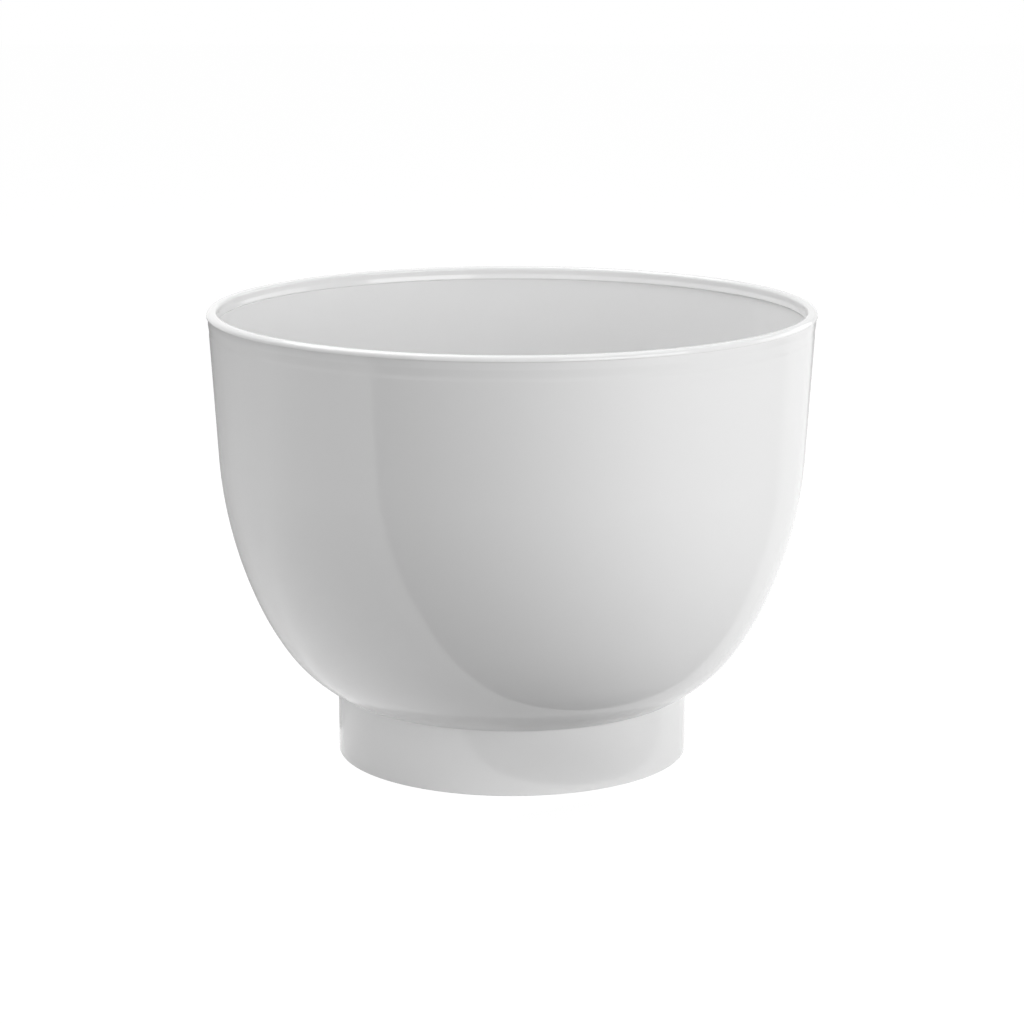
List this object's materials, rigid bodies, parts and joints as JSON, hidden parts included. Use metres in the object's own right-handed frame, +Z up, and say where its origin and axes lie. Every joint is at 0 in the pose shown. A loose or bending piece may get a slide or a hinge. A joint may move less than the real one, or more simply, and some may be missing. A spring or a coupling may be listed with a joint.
{
  "type": "stand mixer bowl",
  "caption": "Deep round moulded mixing bowl with a thick rounded lip, curved sides and a hollow ring foot that locks onto a mixer's turntable.",
  "frame": {"origin": "centre of the foot's standing edge, on the surface the bowl stands on", "axes": "+Z up along the bowl's axis; the bowl is turned about it, and +X runs through the middle of one bayonet lug inside the foot"},
  "size_m": [0.216, 0.216, 0.1615],
  "materials": {
    "bowl_plastic": "smooth satin gloss, as moulded, white"
  },
  "bodies": {
    "root": {"bowl": "bowl_plastic"}
  },
  "joints": []
}
